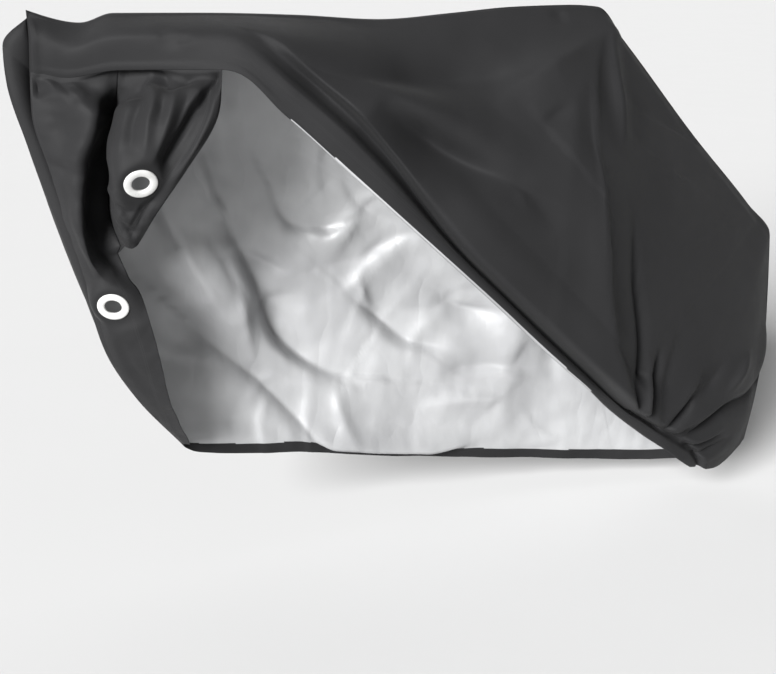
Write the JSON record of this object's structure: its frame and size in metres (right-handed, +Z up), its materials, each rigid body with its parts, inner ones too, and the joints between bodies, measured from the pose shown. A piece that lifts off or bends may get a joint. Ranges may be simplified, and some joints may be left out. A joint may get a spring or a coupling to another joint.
{
  "type": "bicycle cover",
  "caption": "Fitted fabric cover draped over the height of a bicycle, with its near hem drawn up and two ring eyelets in the front for a lock.",
  "frame": {"origin": "on the underside of the cover's top, where the saddle carries it", "axes": "+Z up, -X towards the nose over the handlebar, -Y towards the near side, whose hem is drawn up"},
  "size_m": [1.6664, 0.4665, 1.0991],
  "materials": {
    "outer cloth": "woven, soft sheen",
    "silver lining": "metallic coating",
    "eyelet plastic": "satin"
  },
  "bodies": {
    "root": {"near_panel": "outer cloth", "far_panel": "outer cloth", "nose_strip": "outer cloth", "near_flap": "outer cloth", "eyelet_near": "eyelet plastic", "eyelet_nose": "eyelet plastic"}
  },
  "joints": []
}
